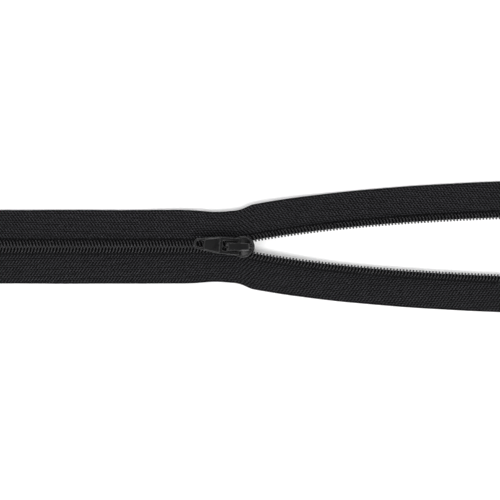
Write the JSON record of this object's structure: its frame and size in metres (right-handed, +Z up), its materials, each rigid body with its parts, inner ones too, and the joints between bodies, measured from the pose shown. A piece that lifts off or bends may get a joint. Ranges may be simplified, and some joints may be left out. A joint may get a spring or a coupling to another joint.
{
  "type": "zipper",
  "caption": "Closed-end nylon coil zipper lying flat and part open, with an auto-lock slider that runs between its stops and a flip-over pull.",
  "frame": {"origin": "centre of the zipper's outline on the surface it lies on", "axes": "+X along the zipper towards its opening end, +Y towards the left tape, +Z up from the surface"},
  "size_m": [0.244, 0.0458, 0.0056],
  "materials": {
    "tape_cloth": "woven black polyester, herringbone twill",
    "coil_nylon": "satin black monofilament",
    "cord": "twisted black cord",
    "thread": "black sewing thread",
    "stop_metal": "black enamel over metal",
    "slider_enamel": "semi-gloss black enamel over die-cast zinc",
    "spring_steel": "bright spring steel",
    "pawl_metal": "plain metal"
  },
  "bodies": {
    "chain": {"left_tape": "tape_cloth", "right_tape": "tape_cloth", "left_coil": "coil_nylon", "right_coil": "coil_nylon", "left_core_cord": "cord", "right_core_cord": "cord", "left_inner_needle_thread": "thread", "right_inner_needle_thread": "thread", "left_outer_needle_thread": "thread", "right_outer_needle_thread": "thread", "left_looper_thread": "thread", "right_looper_thread": "thread", "left_top_stop": "stop_metal", "right_top_stop": "stop_metal", "bottom_stop": "stop_metal"},
    "slider": {"slider_body": "slider_enamel", "slider_cap": "slider_enamel", "lock_spring": "spring_steel"},
    "lock": {"lock_pawl": "pawl_metal"},
    "pull": {"pull_tab": "slider_enamel"}
  },
  "joints": [
    {"name": "slider_slide", "type": "slide", "parent": "chain", "child": "slider", "axis": [1, 0, 0], "range_m": [-0.0905, 0.0955], "deforming": ["left_tape", "right_tape", "left_coil", "right_coil", "left_core_cord", "right_core_cord", "left_inner_needle_thread", "right_inner_needle_thread", "left_outer_needle_thread", "right_outer_needle_thread", "left_looper_thread", "right_looper_thread", "left_top_stop", "right_top_stop"]},
    {"name": "pull_flip", "type": "hinge", "parent": "slider", "child": "pull", "pos_m": [-0.0029, 0, 0.00395], "axis": [0.0802, 0.9968, 0], "range_deg": [0, 170]},
    {"name": "lock_lift", "type": "hinge", "parent": "slider", "child": "lock", "pos_m": [-0.0002, 0, 0.00435], "axis": [0, 1, 0], "range_deg": [0, 4], "deforming": ["lock_spring"]}
  ],
  "couplings": [
    {"joint": "lock_lift", "follows": "pull_flip", "ratio": 0.0235}
  ]
}
